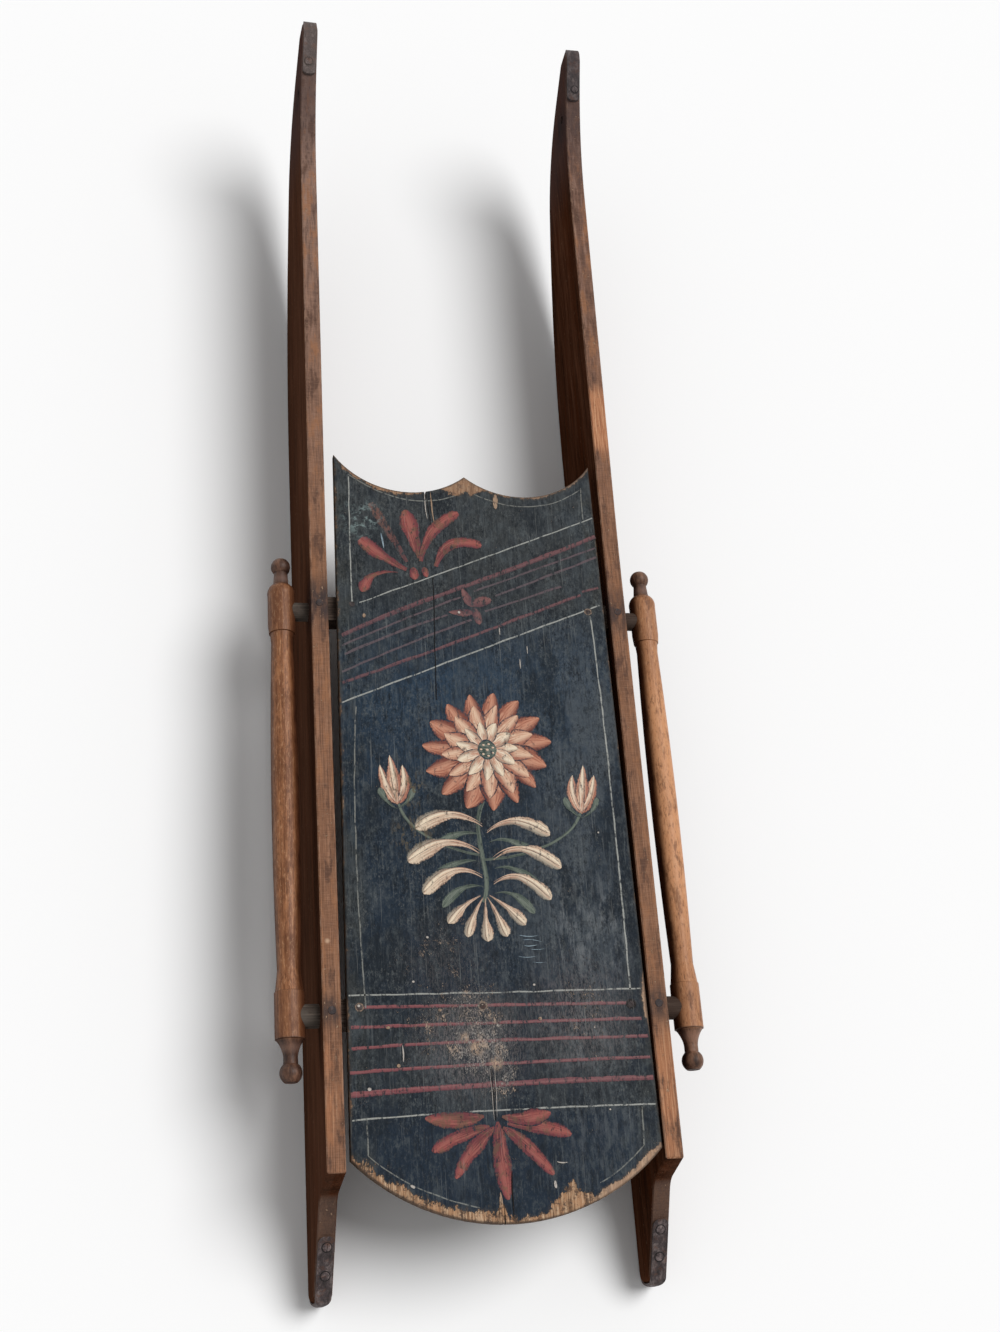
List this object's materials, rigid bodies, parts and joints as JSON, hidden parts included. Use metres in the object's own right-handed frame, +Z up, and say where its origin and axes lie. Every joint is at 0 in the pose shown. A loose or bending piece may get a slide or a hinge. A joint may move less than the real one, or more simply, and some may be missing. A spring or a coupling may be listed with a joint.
{
  "type": "wooden sled",
  "caption": "Child's wooden sled with iron-shod board runners, a thin painted deck on two crossbars and a turned handrail along each side.",
  "frame": {"origin": "on the floor below the middle of the sled's length and width", "axes": "+Y forward to the runners' noses, +X to the rider's right, +Z up"},
  "size_m": [0.3682, 1.2228, 0.1723],
  "materials": {
    "runner_wood": "old varnished wood, worn along its top edges",
    "handrail_wood": "turned wood, worn and satin",
    "crossbar_wood": "dark, dry wood",
    "deck_paint": "old dark blue-black paint with striping, worn to bare wood at its edges",
    "shoe_iron": "dark rusted wrought iron strap"
  },
  "bodies": {
    "root": {"runner_left": "runner_wood", "runner_right": "runner_wood", "shoe_left": "shoe_iron", "shoe_right": "shoe_iron", "deck": "deck_paint", "crossbar_front": "crossbar_wood", "crossbar_rear": "crossbar_wood", "handrail_left": "handrail_wood", "handrail_right": "handrail_wood"}
  },
  "joints": []
}
